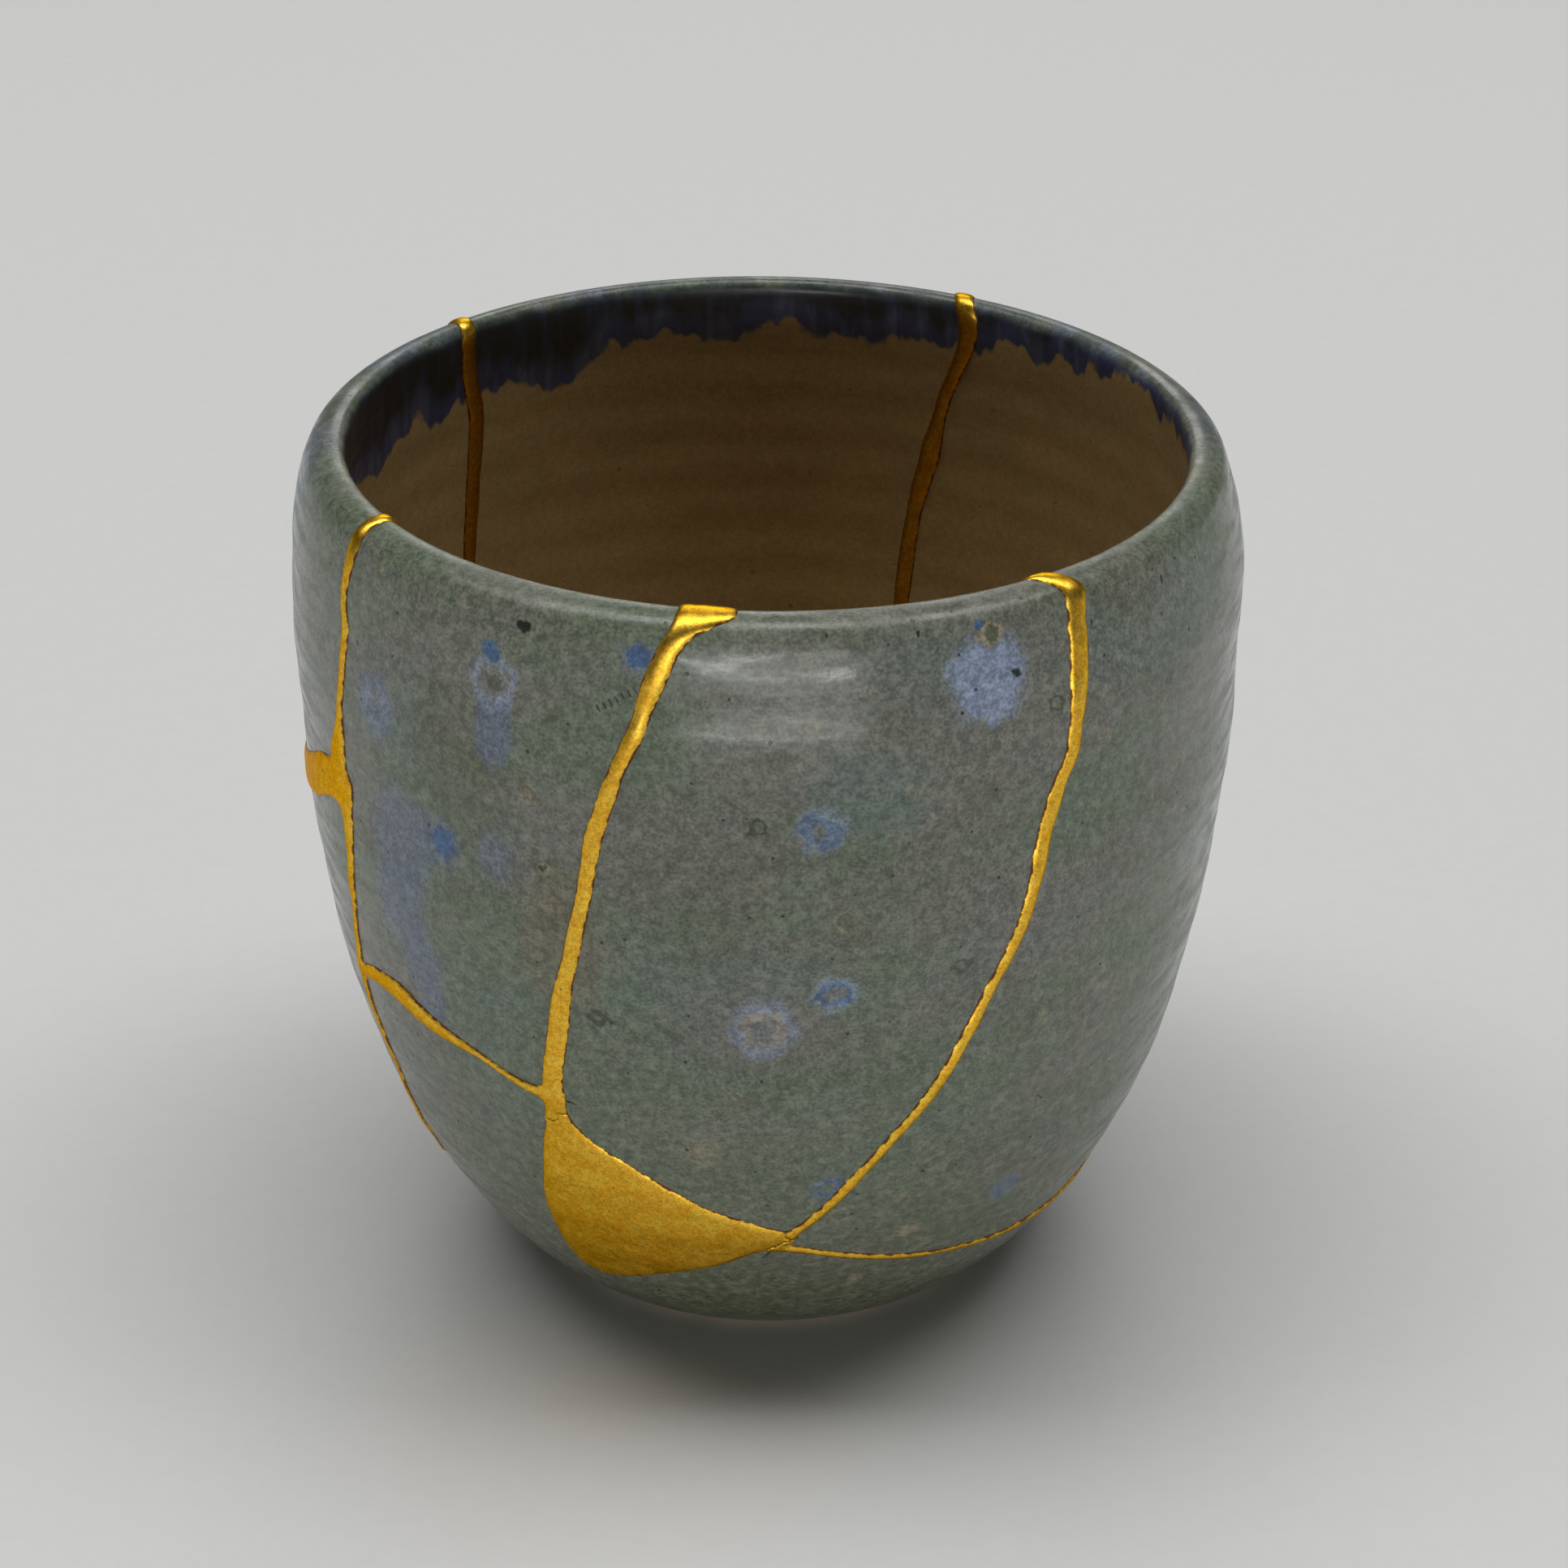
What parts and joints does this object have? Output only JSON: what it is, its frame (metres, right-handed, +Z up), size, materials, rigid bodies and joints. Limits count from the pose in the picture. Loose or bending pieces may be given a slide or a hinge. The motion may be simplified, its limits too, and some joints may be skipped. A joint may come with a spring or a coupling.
{
  "type": "kintsugi teacup",
  "caption": "Hand-thrown round-bellied stoneware teacup with no handle, broken and mended along its cracks with raised gold lacquer.",
  "frame": {"origin": "middle of the foot's underside, on the surface that the cup stands on", "axes": "+Z up through the mouth, -Y towards the front where the gold patch and the centre seam are, +X to the right of that front"},
  "size_m": [0.09, 0.09, 0.0873],
  "materials": {
    "glaze": "satin",
    "gold": "satin"
  },
  "bodies": {
    "root": {"front_left_shard": "glaze", "front_shard": "glaze", "right_shard": "glaze", "back_shard": "glaze", "left_upper_shard": "glaze", "left_lower_shard": "glaze", "base_shard": "glaze", "gold_fill": "gold", "gold_seams": "gold"}
  },
  "joints": []
}
